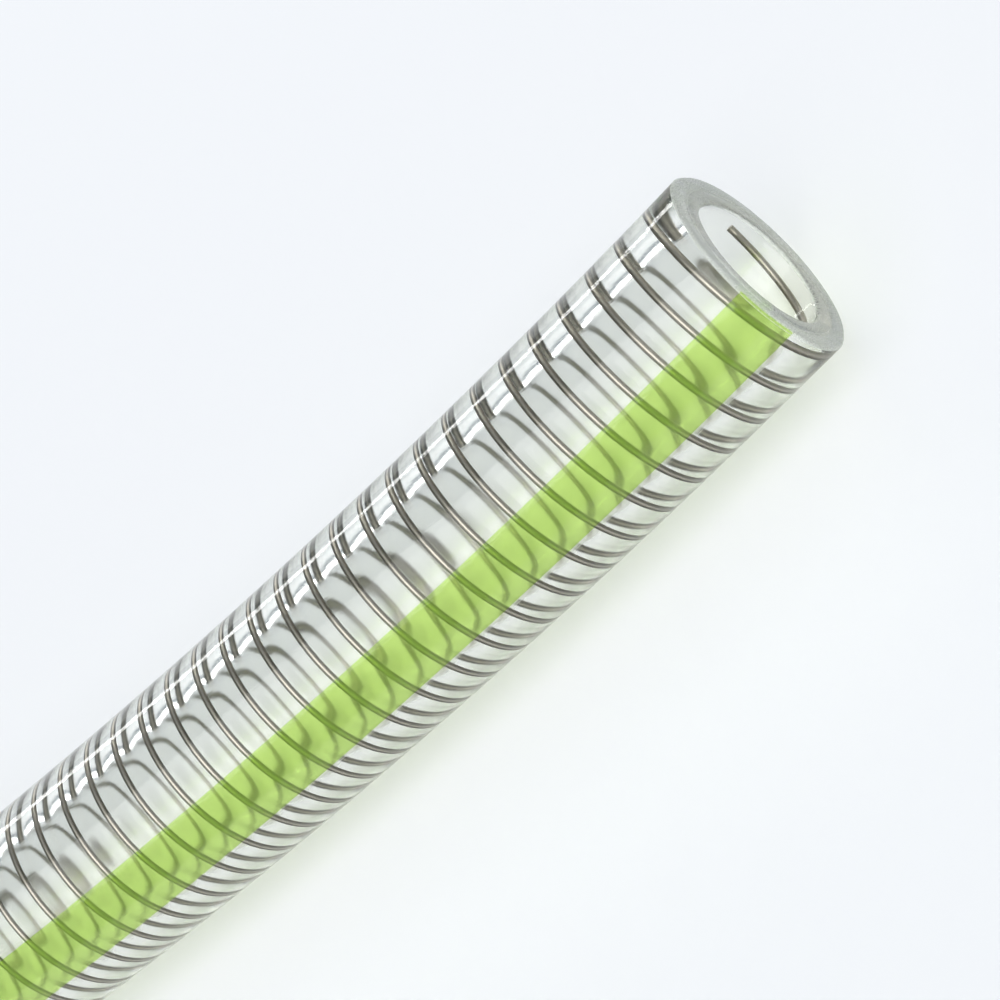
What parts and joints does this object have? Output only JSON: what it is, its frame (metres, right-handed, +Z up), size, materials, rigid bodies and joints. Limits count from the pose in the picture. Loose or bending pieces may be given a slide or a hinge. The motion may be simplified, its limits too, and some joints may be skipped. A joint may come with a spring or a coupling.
{
  "type": "clear spring-reinforced hose",
  "caption": "Slightly bent cut length of clear thick-walled hose with an embedded steel wire helix and one green lengthwise stripe.",
  "frame": {"origin": "on the floor, under the middle of the hose's bounding box", "axes": "+Z up, +X along the straight run towards the bent end, which turns towards +Y"},
  "size_m": [0.5008, 0.0312, 0.022],
  "materials": {
    "clear_liner": "clear, smooth, glossy",
    "clear_cover": "clear with a faint grey-green tint, smooth, glossy",
    "spring_steel": "bright drawn round wire",
    "green_stripe": "translucent light green"
  },
  "bodies": {
    "root": {"inner_tube": "clear_liner", "spring_wire": "spring_steel", "outer_cover": "clear_cover", "green_stripe": "green_stripe"}
  },
  "joints": []
}
